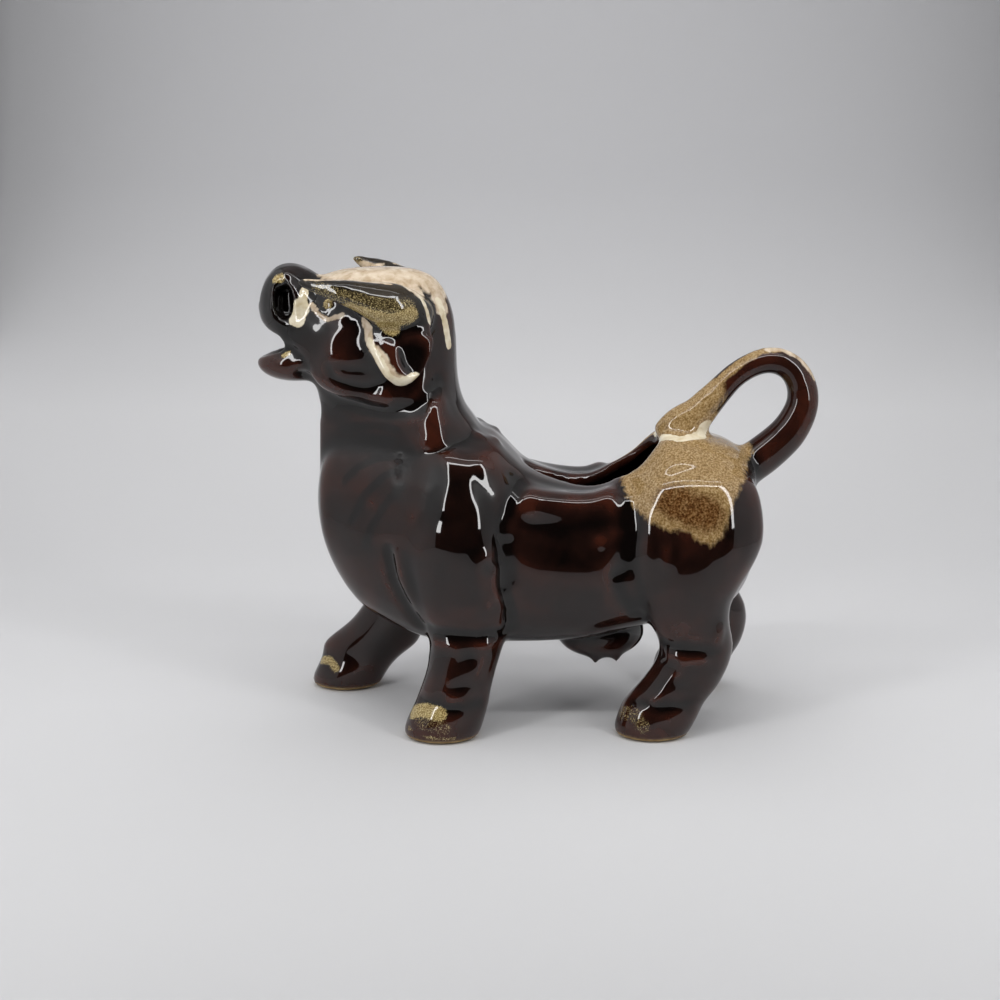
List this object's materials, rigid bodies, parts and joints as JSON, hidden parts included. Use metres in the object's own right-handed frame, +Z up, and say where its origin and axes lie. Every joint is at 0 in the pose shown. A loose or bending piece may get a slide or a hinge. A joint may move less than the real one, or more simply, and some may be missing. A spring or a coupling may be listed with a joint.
{
  "type": "animal creamer jug",
  "caption": "Glazed pottery creamer jug shaped as a horned standing bull, filled through the saddle, poured from the open mouth and held by its looped tail.",
  "frame": {"origin": "on the ground, under the middle of the whole jug", "axes": "+X from the muzzle to the tail, +Y to the animal's right side, +Z up"},
  "size_m": [0.1504, 0.0578, 0.1251],
  "materials": {
    "brown_glaze": "glossy dark brown glaze on red clay",
    "cream_glaze": "glossy cream drip glaze",
    "gold_brushed_glaze": "glossy dark glaze with brushed gold flecks"
  },
  "bodies": {
    "root": {"body_shell": "brown_glaze", "head_shell": "brown_glaze", "left_horn": "gold_brushed_glaze", "right_horn": "gold_brushed_glaze", "left_ear": "cream_glaze", "right_ear": "cream_glaze", "left_foreleg": "brown_glaze", "right_foreleg": "brown_glaze", "left_hindleg": "brown_glaze", "right_hindleg": "brown_glaze", "udder": "brown_glaze", "tail_handle": "brown_glaze"}
  },
  "joints": []
}
